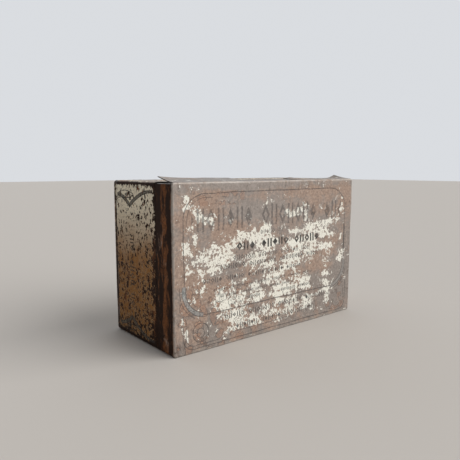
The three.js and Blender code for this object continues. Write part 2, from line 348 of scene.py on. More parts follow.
def lid_skin():
    """The lid: a panel folded back into rims on its left, lower and right sides. Along its upper side the
    rim is cut into two bent flaps and a flat tongue, and the tongue's end is curled round the pin."""
    skin = Skin()
    half_tongue = TONGUE_WIDTH / 2
    knuckle_edges = [-half_tongue + STATION * k for k in range(KNUCKLES + 1)]
    xs, zs, core, away = outline(FOLD, [*knuckle_edges, -SLOT, SLOT])
    loop = add_panel(skin, xs, zs, CORNER - FOLD, FRONT)
    rows = [*fold_rows(FRONT, 1), *((y, 0) for y in spread(FRONT + FOLD, RIM_EDGE, RIM_ROWS))]
    points = skirt(core, away, rows)
    on_top = away[:, 1] > 0.99
    x = points[0, :, 0]
    flap = on_top & (np.abs(x) > half_tongue + SLIT / 2)
    tongue = on_top & ~flap
    back = (np.arange(1, RIM_ROWS + 1) / RIM_ROWS)[:, None]
    rim = points[FOLD_ROWS:]
    rim[:, flap, 1] = FRONT + FOLD + (flap_depth(x[flap]) - FOLD) * back
    rim[:, flap, 2] += flap_lift(x[flap]) * back**1.3
    rim[:, tongue, 1] = FRONT + FOLD + (PLATE_END - FRONT - FOLD) * back
    numbers = np.vstack([loop[None], skin.add_points(points)])
    keep = np.ones((len(numbers) - 1, len(loop)), bool)
    middle = np.abs((x + np.roll(x, -1)) / 2)
    torn_corner = (away[:, 1] > 0.05) & (np.roll(away[:, 1], -1) > 0.05) & ~(on_top & np.roll(on_top, -1))
    slit = on_top & (middle > half_tongue) & (middle < SLOT)
    keep[FOLD_ROWS:, torn_corner | slit] = False
    join_rows(skin, numbers, keep)
    curl = np.pi / 2 - CURL_ANGLE * np.arange(1, CURL_ROWS + 1) / CURL_ROWS
    for k in range(0, KNUCKLES, 2):
        inside = np.flatnonzero(on_top & (x > knuckle_edges[k] - 0.01) & (x < knuckle_edges[k + 1] + 0.01))
        straight = spread(PLATE_END, PIN_Y, 3)
        path_y = np.concatenate([straight, PIN_Y + KNUCKLE_RADIUS * np.cos(curl)])
        path_z = np.concatenate([np.full(3, HEIGHT), PIN_Z + KNUCKLE_RADIUS * np.sin(curl)])
        end = np.stack(np.broadcast_arrays(x[inside], path_y[:, None], path_z[:, None]), -1)
        more = np.vstack([numbers[-1, inside][None], skin.add_points(end)])
        skin.add_quads(more[:-1, :-1], more[1:, :-1], more[1:, 1:], more[:-1, 1:])
    skin.push(dent(skin.points))
    return skin


def in_slot(points, away):
    """Which quads of a skirt stand in the opening for the tongue."""
    x = points[0, :, 0]
    return (away[:, 1] > 0.99) & (np.abs(x + np.roll(x, -1)) / 2 < SLOT)


def wall_skin():
    """The case's wall: the outline carried from the lid's rim to the base's flange, where it turns in.
    A slot in its upper side lets the knuckles in, and it is lapped over itself on its right side."""
    skin = Skin()
    _, _, core, away = outline(stops=(-SLOT, SLOT))
    slot_rows = round((SLOT_END - WALL_FRONT) / CELL)
    turn = FLANGE_EDGE - GAP / 2
    body_rows = round((turn - SLOT_END) / CELL)
    rows = [(WALL_FRONT, 0.05)]
    rows += [(y, 0) for y in spread(WALL_FRONT, SLOT_END, slot_rows)]
    rows += [(y, 0) for y in spread(SLOT_END, turn - 0.3, body_rows)]
    rows += [(turn - 0.1, 0.06), (turn, 0.25), (turn + 0.1, 0.6), (turn + 0.5, 0.7), (BACK - 1.2, 0.7)]
    points = skirt(core, away, rows)
    numbers = skin.add_points(points)
    keep = np.ones((len(rows) - 1, len(core)), bool)
    keep[:slot_rows, in_slot(points, away)] = False
    join_rows(skin, numbers, keep)
    x, y, z = skin.points.T
    lap = step_up(z, LAP_LOW - 0.25, LAP_LOW) * (1 - step_up(z, LAP_HIGH, LAP_HIGH + 3))
    on_right = (x > WIDTH / 2 - 0.2) & (y < turn - 0.3)
    skin.push(LAP_STEP * lap * on_right + 0.5 * dent(skin.points))
    return skin


def collar_skin():
    """The collar: the outline, moved in, carried from the mouth to its end inside the case. Its lower
    side bends in towards the mouth, and its edge at the mouth is turned in."""
    skin = Skin()
    _, _, core, away = outline(stops=(-SLOT, SLOT))
    slot_front = RIM_EDGE - GAP - SHEET
    spans = [(COLLAR_FRONT + 0.35, slot_front), (slot_front, SLOT_END), (SLOT_END, COLLAR_END)]
    ys = np.concatenate([spread(a, b, round((b - a) / CELL)) for a, b in spans])
    hem = [(0.45, 0.62), (0.12, 0.5), (0, 0.28), (0.1, 0.08), (0.35, 0)]
    rows = [(COLLAR_FRONT + y, COLLAR_INSET + inset) for y, inset in hem]
    rows += [(y, COLLAR_INSET) for y in ys]
    points = skirt(core, away, rows)
    draw = COLLAR_BEND * np.clip((WALL_FRONT - points[..., 1]) / (WALL_FRONT - COLLAR_FRONT), 0, 1)
    points[..., 2] += draw * np.clip(1 - (points[..., 2] - COLLAR_INSET) / 14, 0, 1)
    numbers = skin.add_points(points)
    y = np.array(rows)[:, 0]
    middle = (y[1:] + y[:-1]) / 2
    cut = (middle > slot_front) & (middle < SLOT_END)
    join_rows(skin, numbers, ~(cut[:, None] & in_slot(points, away)[None]))
    skin.push(0.05 * ripple(skin.points, 30, 12))
    return skin


def from_border(points):
    """Distance from the nearest edge of the front or back panel."""
    x, _, z = points.T
    return np.minimum(WIDTH / 2 - np.abs(x), np.minimum(z, HEIGHT - z))


def base_skin():
    """The base: a panel with a short flange folded towards the lid, slightly dished inside a border."""
    skin = Skin()
    xs, zs, core, away = outline(FOLD)
    loop = add_panel(skin, xs, zs, CORNER - FOLD, BACK)
    rows = [*fold_rows(BACK, -1), *((y, 0) for y in spread(BACK - FOLD, FLANGE_EDGE, 4))]
    numbers = np.vstack([loop[None], skin.add_points(skirt(core, away, rows))])
    join_rows(skin, numbers)
    skin.flip()
    bead = 0.3 * np.exp(-(((from_border(skin.points) - 4.2) / 0.55) ** 2))
    skin.push(0.6 * dent(skin.points) - bead * (skin.points[:, 1] > BACK - FOLD / 2))
    return skin


def arc_points(radius, start, end, count):
    """Points (y, z) on a circle about the origin between two angles in degrees."""
    angles = np.radians(np.linspace(start, end, count))
    return radius * np.stack([np.cos(angles), np.sin(angles)], -1)


def strap_bars():
    """The case's strap: a plate folded double, and a closed loop round the pin at each even knuckle. The
    profiles are worked out about the pin."""
    middle = strap_low[2] - PIN_Z + STRAP_TOP - STRAP / 2
    start, end = KNUCKLE_RADIUS + 0.1, strap_high[1] - PIN_Y
    top, bottom = middle + STRAP / 2, middle - STRAP / 2
    nose = (start + STRAP / 2, middle) + arc_points(STRAP / 2, 90, 270, 9)
    plate = np.vstack([(end, top), nose, (end, bottom)])
    root = start + 0.7
    outside = arc_points(KNUCKLE_RADIUS, 35, 318, 40)
    inside = arc_points(KNUCKLE_RADIUS - SHEET, 318, 35, 40)
    knuckle = np.vstack([
        (root, top - 0.06), outside, (root, bottom + 0.06),
        (root, middle - 0.05), inside, (root, middle + 0.05)])
    pin = (PIN_Y, PIN_Z)
    half = TONGUE_WIDTH / 2
    bars = [((plate + pin)[::-1], -half, half)]
    for k in range(1, KNUCKLES, 2):
        left = -half + k * STATION + GAP
        bars.append((knuckle + pin, left, left + STATION - 2 * GAP))
    return bars


def pin_profile():
    """The wire's outline: a straight wire whose ends are nipped off a little round."""
    half = TONGUE_WIDTH / 2
    nip = [(half, 0.3), (half - 0.05, 0.38), (half - 0.2, PIN_RADIUS)]
    return [(-x, radius) for x, radius in nip] + nip[::-1]


def solder_path():
    """The groove between the wall and the base's flange, round the tin, and the bead's radius in it."""
    _, _, core, away = outline()
    path = skirt(core, away, [(FLANGE_EDGE - 0.12, 0.3)])[0]
    radii = 0.27 + 0.07 * ripple(path, 9, 21) + 0.05 * ripple(path, 2.6, 22)
    return path, np.clip(radii, 0.12, 0.45)


# ---------------------------------------------------------------- wear, as fields on the sheets
def patches(u, v, spots):
    """1 inside the spots and 0 well outside: one less the product of one less each spot's bell curve,
    which is a half where the distance over the spot's radii is 1. A spot is its middle, u and v, and its
    two radii."""
    left = np.ones_like(u)
    for cu, cv, ru, rv in spots:
        left *= 1 - 0.97 * np.exp(-math.log(2) * (((u - cu) / ru) ** 2 + ((v - cv) / rv) ** 2))
    return 1 - left


# Where print still sits on the lid's panel: millimetres from its left and upper edges, and radii.
LID_PRINT = [
    (7.3, 7.5, 1.6, 2.0), (7.8, 10.2, 2.4, 1.3), (12.3, 14.2, 2.2, 3.2), (15.8, 15.5, 1.6, 3.4),
    (20, 16.5, 1.4, 3), (8, 19.4, 2.8, 1.6), (10.8, 23.8, 1.4, 2.2), (6.5, 27, 1.4, 2.6),
    (11.5, 33, 4.6, 3.6), (15, 38, 4, 3.4), (19, 33, 4.4, 2.8), (21, 28, 3.4, 1.6), (26, 33, 4.2, 2.8),
    (31, 27.5, 3.6, 1.7), (37, 23.6, 3.2, 1.5), (43, 26, 4.6, 2.4), (50.8, 22.5, 1.9, 2.6),
    (52.4, 29, 4.6, 4), (46, 34.6, 5, 2), (43, 37.2, 4, 1.4), (54, 38.6, 2.6, 1.7), (51.5, 9, 0.7, 2.4),
    (65.5, 15, 2.6, 1.7), (70, 16.4, 3.4, 1.5), (74.5, 14.6, 2, 1.6), (77.5, 11.8, 2, 1.2),
    (78.5, 17.5, 1.4, 2.8), (72, 24.8, 3.6, 0.9), (81.5, 24, 5, 1.6), (88, 23, 4.4, 1.2),
    (96, 21.8, 4.6, 1.3), (104, 21.6, 3, 2.4), (99, 17.8, 1.6, 1.3), (105.8, 15.4, 2.2, 2.8),
    (107, 10, 0.9, 0.9), (81.5, 28.6, 6, 2.2), (91, 26.4, 4.4, 1.8), (96, 28, 4, 1.8), (69, 31, 5.4, 2.2),
    (75, 34.2, 6, 2.2), (84, 34, 4.6, 2), (92, 34.4, 4.6, 1.6), (98, 34.4, 3, 1.6), (66, 38.6, 3, 2.6),
    (73, 39.6, 5.4, 2), (81, 37, 3, 1.2), (106, 31, 1.2, 1.3), (107.7, 38.6, 2.6, 1.1),
    (106, 42.3, 2.4, 1.5), (14, 46, 1.3, 1.6), (23.5, 51, 2.8, 3), (26.5, 54, 4.4, 1.9),
    (31, 50, 1.8, 3.2), (37, 52.4, 2.6, 2.4), (43, 48, 2.6, 1.4), (46, 53, 5, 2), (52.5, 46.4, 3.4, 2.4),
    (58.5, 46, 2.2, 2.4), (63, 43, 2, 2), (62, 51, 4.4, 1.6), (59, 54.6, 6, 1.2), (67, 53, 6, 1.7),
    (77, 51, 3.6, 2.4), (79, 54, 3, 1.4), (95.4, 49.2, 3.2, 1.1), (95.4, 54, 2.4, 1.4),
    (27, 59.2, 2.6, 1), (35, 60, 4.4, 2.2), (34.6, 64, 3.6, 1.5), (32, 66.2, 4.2, 0.8),
    (42, 65.2, 4, 1.8), (46.5, 66.2, 3.6, 0.9), (51, 61, 2.6, 2.2), (55.5, 62.6, 3, 1.7),
    (60, 58.6, 4, 1.3), (67.7, 63.6, 3.6, 2.6), (71, 60, 2.8, 1.9), (80, 60, 3, 1.9), (78.5, 64, 2, 1.7),
    (95.6, 61.6, 1.8, 3), (92.3, 57.8, 2, 1.3), (58.5, 67.6, 4, 0.6), (4.6, 46, 1.1, 1.8),
    (4.4, 58.6, 0.7, 2.6), (6.4, 64, 0.8, 2.8),
]
# Where the bare metal is browner, and where it is greyer.
LID_BROWN = [
    (17, 7, 7, 4), (30, 22, 7, 4), (8, 42, 5, 4), (16, 51, 6, 4), (26, 45, 5, 3), (91, 44.5, 9, 4),
    (69, 45.5, 5, 3), (27, 63, 6, 4), (10, 60, 4, 6), (62, 63, 4, 2), (4, 30, 4, 16), (86, 7, 20, 4),
    (100, 31, 6, 3), (52, 66, 6, 3), (108, 12, 6, 10),
]
LID_GREY = [
    (90, 60, 8, 9), (105, 57, 7, 10), (60, 13, 12, 5), (96, 42, 6, 2), (88, 50, 3, 6), (18, 62, 5, 5),
    (112, 40, 4, 22), (40, 14, 10, 4), (57, 2, 50, 1.5),
]


def from_corner(points):
    """Millimetres from the tin's left edge and from its upper edge."""
    return points[:, 0] + WIDTH / 2, HEIGHT - points[:, 2]


def on_panel(points):
    """1 on the flat of the lid's panel and 0 on its rims."""
    return 1 - step_up(points[:, 1], FRONT + FOLD * 0.5, FRONT + FOLD * 1.6)


def on_left(points):
    """1 on the tin's left end and 0 elsewhere."""
    return step_up(-points[:, 0], WIDTH / 2 - 0.9, WIDTH / 2 - 0.3)


def on_ends(points):
    """1 on the tin's left and right ends and 0 elsewhere."""
    return step_up(np.abs(points[:, 0]), WIDTH / 2 - 0.6, WIDTH / 2 - 0.2)


def on_upper(points):
    """1 on the tin's upper side and 0 elsewhere."""
    return step_up(points[:, 2], HEIGHT - 0.6, HEIGHT - 0.2)


def lid_print_left(points):
    """How much of the lid's print is left: the spots, some more round the panel's middle, a little on the
    rims and none on the left one."""
    u, v = from_corner(points)
    middle = step_up(u, 14, 30) * step_up(v, 18, 26) * (1 - step_up(u, 94, 104)) * (1 - step_up(v, 64, 69))
    panel = -0.07 + 0.22 * middle + 0.92 * patches(u, v, LID_PRINT)
    rim = 0.04 + 0.1 * ripple(points, 12, 31) - 0.8 * on_left(points)
    return rim + (panel - rim) * on_panel(points)


def lid_brown(points):
    """How brown the lid's bare metal is: in patches on its panel, and on its rims."""
    u, v = from_corner(points)
    panel = 0.5 + 0.5 * patches(u, v, LID_BROWN) - 0.5 * patches(u, v, LID_GREY)
    rim = 0.7 - 0.55 * on_upper(points)
    return rim + (panel - rim) * on_panel(points)


def lid_varnish(points):
    """The lid's left rim keeps a brown varnish, the lower and right ones some, and the upper one none."""
    upper = on_upper(points)
    return (1 - on_panel(points)) * (0.3 * (1 - upper) + (0.7 + 0.3 * upper) * on_left(points))


def wall_varnish(points):
    """Brown varnish on the case's ends, thin elsewhere."""
    return 0.12 + 0.88 * on_ends(points)


def lid_soot(points):
    """Dark grime: little on the panel's upper border and lower left corner, none on the rest of it, heavy
    in streaks on the left rim, and some on the other rims."""
    brown_streak = np.exp(-(((points[:, 1] - BACK + 44.4) / 2.9) ** 2))
    streak = 0.92 - 0.5 * brown_streak + 0.22 * ripple(points * [1, 1, 0.18], 4, 33)
    rims = 0.2 * (1 - on_upper(points))
    rims = rims + (streak - rims) * on_left(points)
    u, v = from_corner(points)
    border = 0.2 * (1 - step_up(v, 3, 7)) + 0.26 * (1 - step_up(u, 8, 16)) * step_up(v, 56, 68)
    return rims + (border - rims) * on_panel(points)


def wall_print_left(points):
    """Nearly whole on the sides, less near the lid, the lower edge and the arrises."""
    from_back, down = BACK - points[:, 1], HEIGHT - points[:, 2]
    near_lid = 0.16 * step_up(from_back, 20, 40) + 0.45 * step_up(from_back, 33, 38)
    low = 0.14 * step_up(down, 58, 72) + 0.15 * step_up(down, 18, 46)
    arris = 0.7 * (1 - step_up(np.minimum(down, HEIGHT - down), 1.0, 2.8))
    kept = 0.84 - near_lid - low - arris - 0.6 * (1 - step_up(from_back, 2.0, 3.2))
    flat = 0.42 + 0.16 * ripple(points, 22, 41)
    return flat + (kept - flat) * on_ends(points)


def wall_brown(points):
    """How brown the case's bare metal is, in clouds."""
    return 0.5 + 0.4 * ripple(points, 18, 42)


def wall_soot_and_shade(points):
    """Dark grime along the arrises, darker along the flange, and painted shade towards the foot of the
    tin.
    """
    _, y, z = points.T
    edge = 1 - step_up(np.minimum(HEIGHT - z, z), 0.8, 3.0)
    back = 1 - step_up(BACK - y, 1.8, 3.4)
    # low is painted shade: the ends get darker towards the foot of the tin
    low = step_up(HEIGHT - z, 60, 73)
    grime = np.clip(0.72 + 0.3 * edge + 0.3 * back + 0.2 * low, 0, 1)
    return 0.25 + (grime - 0.25) * on_ends(points)


def base_print_left(points):
    """How much of the base's print is left: less towards its edges."""
    return 0.2 + 0.42 * step_up(from_border(points), 2, 9) + 0.22 * ripple(points, 26, 51)


def base_soot(points):
    """Dark grime on the base, heavy along its edges."""
    return 0.75 - 0.6 * step_up(from_border(points), 0.5, 5)


def none_aged(points):
    """The lid's cream hasn't browned anywhere."""
    return np.zeros(len(points))


def wall_age_and_shade(points):
    """Browner, darker cream towards the foot of the tin, most on its left end: partly real browning,
    partly painted shade and warm bounce light from below.
    """
    down = HEIGHT - points[:, 2]
    most = 0.3 + 0.7 * on_left(points)
    return 0.06 + most * (0.92 * step_up(down, 5, 38) + 0.2 * step_up(down, 34, 62))


# ---------------------------------------------------------------- shader building
class Wire:
    """A socket in a node tree. Arithmetic on it adds Math nodes, so a pattern reads as its formula."""

    def __init__(self, socket):
        self.socket = socket
        self.tree = socket.id_data

    def math(self, operation, *others, first=None, clamp=False):
        """A Math node whose inputs are this wire and the others, or first and this wire."""
        node = self.tree.nodes.new("ShaderNodeMath")
        node.operation = operation
        node.use_clamp = clamp
        values = (self, *others) if first is None else (first, self)
        for socket, value in zip(node.inputs, values):
            plug(value, socket)
        return Wire(node.outputs[0])

    def __abs__(self):
        return self.math("ABSOLUTE")

    def least(self, other):
        return self.math("MINIMUM", other)

    def most(self, other):
        return self.math("MAXIMUM", other)

    def floor(self):
        return self.math("FLOOR")

    def clamped(self):
        """The same value kept between 0 and 1."""
        return self.math("ADD", 0, clamp=True)

    def rise(self, low, high):
        """0 below low, 1 above high, smooth between."""
        node = self.tree.nodes.new("ShaderNodeMapRange")
        node.interpolation_type = "SMOOTHSTEP"
        for socket, value in zip(node.inputs, (self, low, high, 0, 1)):
            plug(value, socket)
        return Wire(node.outputs[0])

    def fall(self, low, high):
        """1 below low, 0 above high, smooth between."""
        return 1 - self.rise(low, high)


for sign, operation in {"add": "ADD", "sub": "SUBTRACT", "mul": "MULTIPLY", "truediv": "DIVIDE"}.items():
    setattr(Wire, f"__{sign}__", lambda wire, other, name=operation: wire.math(name, other))
    setattr(Wire, f"__r{sign}__", lambda wire, other, name=operation: wire.math(name, first=other))


def plug(value, socket):
    """Sets a socket to a plain value, or links a wire to it."""
    if isinstance(value, Wire):
        value.tree.links.new(value.socket, socket)
    else:
        socket.default_value = value


def new_group(name, outputs, **inputs):
    """A node group: its inputs as wires, and its output node. An input is a number with its default, or a
    vector where that is None, and its underscores are spaces. An output named Color is a colour, the
    others numbers."""
    tree = bpy.data.node_groups.new(name, "ShaderNodeTree")
    for label, default in inputs.items():
        kind = "NodeSocketVector" if default is None else "NodeSocketFloat"
        socket = tree.interface.new_socket(label.replace("_", " "), in_out="INPUT", socket_type=kind)
        if default is not None:
            socket.default_value = default
    for label in outputs:
        kind = "NodeSocketColor" if label == "Color" else "NodeSocketFloat"
        tree.interface.new_socket(label, in_out="OUTPUT", socket_type=kind)
    given = tree.nodes.new("NodeGroupInput")
    result = tree.nodes.new("NodeGroupOutput")
    return [Wire(socket) for socket in given.outputs[:len(inputs)]], result


def give(result, **values):
    """Plugs a node group's outputs and returns the group."""
    for label, value in values.items():
        plug(value, result.inputs[label])
    return result.id_data


def use_group(group, **values):
    """Places a node group and returns its outputs by name. An argument's underscores are spaces."""
    tree = next(value.tree for value in values.values() if isinstance(value, Wire))
    node = tree.nodes.new("ShaderNodeGroup")
    node.node_tree = group
    for label, value in values.items():
        plug(value, node.inputs[label.replace("_", " ")])
    return {socket.name: Wire(socket) for socket in node.outputs}


def scaled(place, scale, shift):
    """A place times scale plus shift, each of three numbers."""
    node = place.tree.nodes.new("ShaderNodeVectorMath")
    node.operation = "MULTIPLY_ADD"
    plug(place, node.inputs[0])
    node.inputs[1].default_value = scale
    node.inputs[2].default_value = shift
    return Wire(node.outputs[0])


def noise(place, per_mm, seed, detail=3.0, roughness=0.55, stretch=(1, 1, 1), distortion=0.0):
    """Smooth noise from 0 to 1 with per_mm waves to a millimetre, squeezed along an axis by stretch."""
    scale = [per_mm * share / MM for share in stretch]
    where = scaled(place, scale, (seed * 7.3, seed * 3.1, seed * 5.7))
    node = place.tree.nodes.new("ShaderNodeTexNoise")
    settings = {
        "Vector": where, "Scale": 1, "Detail": detail, "Roughness": roughness, "Distortion": distortion}
    for label, value in settings.items():
        plug(value, node.inputs[label])
    return Wire(node.outputs[0])


def cells(place, per_mm, seed):
    """Distance to the nearest of scattered points, with per_mm points to a millimetre."""
    where = scaled(place, [per_mm / MM] * 3, (seed * 2.3, seed * 5.9, seed * 4.1))
    node = place.tree.nodes.new("ShaderNodeTexVoronoi")
    plug(where, node.inputs["Vector"])
    plug(1, node.inputs["Scale"])
    return Wire(node.outputs["Distance"])


def chance(number, seed):
    """A random number from 0 to 1 that is the same wherever number is the same."""
    node = number.tree.nodes.new("ShaderNodeTexWhiteNoise")
    node.noise_dimensions = "2D"
    pair = number.tree.nodes.new("ShaderNodeCombineXYZ")
    plug(number, pair.inputs[0])
    plug(seed, pair.inputs[1])
    plug(Wire(pair.outputs[0]), node.inputs["Vector"])
    return Wire(node.outputs["Value"])


def mixed(share, low, high):
    """Colour low where share is 0 and high where it is 1."""
    node = share.tree.nodes.new("ShaderNodeMix")
    node.data_type = "RGBA"
    for number, value in {0: share, 6: low, 7: high}.items():
        plug(value, node.inputs[number])
    return Wire(node.outputs[2])


def millimetres(place):
    """A place's three coordinates in millimetres."""
    split = place.tree.nodes.new("ShaderNodeSeparateXYZ")
    plug(place, split.inputs[0])
    return [Wire(socket) / MM for socket in split.outputs]


def shade(red, green, blue):
    """A colour as a screen shows it, from 0 to 255, as the linear colour that a shader needs."""
    share = np.array([red, green, blue]) / 255
    linear = np.where(share <= 0.04045, share / 12.92, ((share + 0.055) / 1.055) ** 2.4)
    return (*linear.tolist(), 1.0)


# ---------------------------------------------------------------- shared effects
def flaked_print_group():
    """Print flaked off in jagged islands. Print is 1 where it is left, Lip is 1 just inside its edge."""
    (place, share, ragged, pits), result = new_group(
        "Flaked print", ["Print", "Lip"], Place=None, Left=0.5, Ragged=1.0, Pits=0.5)
    broad = noise(place, 0.17, 1, detail=4, roughness=0.6) - 0.5
    chips = noise(place, 0.62, 2, detail=5, roughness=0.68) - 0.5
    value = share + ragged * (broad * 1.5 + chips * 2.6)
    pit = noise(place, 0.72, 3, detail=3, roughness=0.55, stretch=(1, 1, 0.75))
    value = value - pit.rise(0.56, 0.62) * pits
    print_left = value.rise(0.48, 0.54)
    return give(result, Print=print_left, Lip=print_left * value.fall(0.54, 0.68))


def stained_tin_group():
    """Old tinplate: grey tin in cloudy patches between brown rust, both finely mottled."""
    (place, browned, varnish, soot_and_shade), result = new_group(
        "Stained tin", ["Color", "Rust", "Grain"], Place=None, Brown=0.5, Varnish=0.0, Soot=0.0)
    cloud = noise(place, 0.11, 11, detail=5, roughness=0.6, distortion=0.4)
    speck = noise(place, 0.9, 12, detail=4, roughness=0.7)
    fine = noise(place, 4.2, 13, detail=2, roughness=0.6)
    rust = (browned + (cloud - 0.5) * 2.6 + (speck - 0.5) * 1.2).rise(0.1, 0.95)
    grey = mixed(fine * 0.5 + speck.rise(0.3, 0.7) * 0.5, shade(126, 117, 111), shade(172, 162, 154))
    brown = mixed(speck.rise(0.25, 0.75), shade(138, 118, 105), shade(182, 159, 143))
    colour = mixed(rust, grey, brown)
    red = noise(place, 0.33, 14, detail=4, roughness=0.7).rise(0.58, 0.72) * rust
    colour = mixed(red * 0.35, colour, shade(152, 110, 88))
    dark = (noise(place, 0.5, 15, detail=5, roughness=0.65).rise(0.56, 0.74) * 0.55).clamped()
    colour = mixed(dark, colour, shade(84, 70, 62))
    streak = noise(place, 0.5, 16, detail=5, roughness=0.6, stretch=(1, 1, 0.3), distortion=0.6)
    amber = mixed(speck.rise(0.3, 0.7), shade(78, 46, 24), shade(146, 93, 54))
    colour = mixed(varnish * cloud.fall(0.55, 0.75), colour, amber)
    black = (soot_and_shade * 1.25 - (streak - 0.5) * 3 + (speck - 0.5) * 1.6 - 0.12).rise(0.25, 0.8)
    black = black * soot_and_shade.rise(0.02, 0.4)
    colour = mixed(black, colour, mixed(fine, shade(24, 12, 6), shade(54, 31, 17)))
    rust = rust.most(black).most(varnish)
    return give(result, Color=colour, Rust=rust, Grain=fine * 0.6 + speck * 0.4)


def worn_edge_and_highlight_group():
    """The tin's long edges and folds, bright: partly rubbed wear, partly a painted highlight of the folds.
    1 where the two smaller distances to the box's faces add up to little, broken up by noise."""
    (place, width), result = new_group("Worn edge and highlight", ["Rubbed"], Place=None, Width=1.0)
    x, y, z = millimetres(place)
    side = WIDTH / 2 - abs(x)
    face = (y - FRONT).least(BACK - y)
    level = z.least(HEIGHT - z)
    two_least = side + face + level - side.most(face).most(level)
    breaks = noise(place, 0.45, 18, detail=4, roughness=0.65)
    return give(result, Rubbed=two_least.fall(0.3 * width, width) * breaks.rise(0.3, 0.62))


def lozenge_row_group():
    """A lozenge and reel border: cells that hold two bars and a lozenge in turn, each lozenge hollow or
    solid at random, with a cell left out after each run and some runs left out."""
    (along, down, start, end, top, bottom, pitch, stroke, in_run, seed), result = new_group(
        "Lozenge row", ["Ink"], Along=0.0, Down=0.0, Start=0.0, End=1.0, Top=0.0, Bottom=1.0, Pitch=1.0,
        Stroke=0.3, Run=5.0, Seed=0.0)
    half_stroke = stroke / 2
    cell = along / pitch
    number = cell.floor()
    out = abs(cell - number - 0.5) * pitch
    half_width = pitch * 0.46
    half_height = (bottom - top) / 2
    off = abs(down - (bottom + top) / 2)
    across, upward = out / half_width, off / half_height
    thin = half_width * 0.85
    hollow = abs((across + upward - 1) * thin + half_stroke)
    solid = ((across + upward - 0.72) * thin).most(0) + half_stroke * 0.4
    bars = abs(out - half_width * 0.55)
    is_solid = chance(number, seed).fall(0.4, 0.401)
    lozenge = hollow * (1 - is_solid) + solid * is_solid
    is_bars = (number / 2 - (number / 2).floor()).fall(0.2, 0.3)
    shape = lozenge * (1 - is_bars) + bars * is_bars
    inked = shape.fall(half_stroke - 0.06, half_stroke + 0.06) * (half_height - off).rise(-0.07, 0.07)
    inside = along.rise(start, start + 0.1) * along.fall(end - 0.1, end)
    run = (number / in_run).floor()
    kept = (number - run * in_run).rise(0.4, 0.6) * chance(run, seed + 5).rise(0.08, 0.081)
    return give(result, Ink=inked * inside * kept)


def rounded_frame_group():
    """Distance to a rounded rectangle's edge, below 0 inside it."""
    (along, down, middle_along, middle_down, half_along, half_down, radius), result = new_group(
        "Rounded frame", ["Distance"], Along=0.0, Down=0.0, Middle_along=0.0, Middle_down=0.0,
        Half_along=1.0, Half_down=1.0, Radius=1.0)
    over_u = abs(along - middle_along) - half_along + radius
    over_v = abs(down - middle_down) - half_down + radius
    out_u, out_v = over_u.most(0), over_v.most(0)
    outside = (out_u * out_u + out_v * out_v).math("SQRT")
    return give(result, Distance=outside + over_u.most(over_v).least(0) - radius)


FLAKED = flaked_print_group()
STAINED = stained_tin_group()
WORN_EDGE_AND_HIGHLIGHT = worn_edge_and_highlight_group()
LOZENGES = lozenge_row_group()
ROUNDED = rounded_frame_group()


def line(distance, width):
    """Ink along a line: 1 within half its width, soft over a twentieth of a millimetre."""
    return abs(distance).fall(width / 2 - 0.05, width / 2 + 0.05)


def window(u, v, left, right, top, bottom):
    """1 inside a rectangle, with soft edges half a millimetre wide."""
    across = u.rise(left - 0.25, left + 0.25) * u.fall(right - 0.25, right + 0.25)
    return across * v.rise(top - 0.25, top + 0.25) * v.fall(bottom - 0.25, bottom + 0.25)


def framed(u, v, left, right, top, bottom, radius):
    """Distance to the edge of a rounded rectangle given by its sides."""
    return use_group(
        ROUNDED, Along=u, Down=v, Middle_along=(left + right) / 2, Middle_down=(top + bottom) / 2,
        Half_along=(right - left) / 2, Half_down=(bottom - top) / 2, Radius=radius)["Distance"]


def most_of(wires):
    """The largest of several wires. Given by a generator, few are alive at once, as a render needs."""
    wires = iter(wires)
    largest = next(wires)
    for wire in wires:
        largest = largest.most(wire)
    return largest


# Rows of ornament on the lid, from the top: start, end, top, bottom, pitch, stroke, cells to a run, seed.
# The first is the tall title row and the third the darkest.
LID_ROWS = [
    (9, 105.5, 11.0, 20.8, 5.4, 1.05, 8, 67),
    (35, 63, 22.4, 24.5, 1.9, 0.34, 6, 3),
    (33.6, 92.5, 26.9, 30.9, 3.7, 0.95, 6, 41),
    (31, 82, 32.8, 35.0, 2.1, 0.4, 7, 5),
    (24, 88, 36.1, 38.4, 2.15, 0.5, 9, 7),
    (15, 76, 41.1, 43.3, 2.1, 0.45, 6, 9),
    (20, 84, 46.0, 47.4, 1.35, 0.3, 8, 11),
    (24, 70, 49.2, 50.5, 1.25, 0.3, 7, 13),
    (40, 82, 52.2, 53.8, 1.5, 0.36, 8, 15),
    (26, 94, 58.6, 61.0, 2.4, 0.48, 8, 17),
    (33, 86, 64.0, 66.4, 2.2, 0.48, 7, 19),
]
ROW_SIZES = ("Start", "End", "Top", "Bottom", "Pitch", "Stroke", "Run", "Seed")
PRINTED = ("Ink", "Bold", "Title", "Band", "Petal")


def lozenge_row(u, v, row):
    """One row of ornament, its sizes in the order of ROW_SIZES."""
    return use_group(LOZENGES, Along=u, Down=v, **dict(zip(ROW_SIZES, row)))["Ink"]


def lozenge_rows(u, v, rows):
    """Ornament in several rows, and for each gap between rows 1 below it. Each of a row's sizes is a
    staircase in v: the first row's value, plus at each gap's middle the step to the next row's."""
    middles = [(above[3] + below[2]) / 2 for above, below in zip(rows, rows[1:])]
    past = [v.math("GREATER_THAN", middle) for middle in middles]
    sizes = []
    for values in zip(*rows):
        total = float(values[0])
        for below, value, last in zip(past, values[1:], values):
            total = below.math("MULTIPLY_ADD", value - last, total)
        sizes.append(total)
    return lozenge_row(u, v, sizes), past


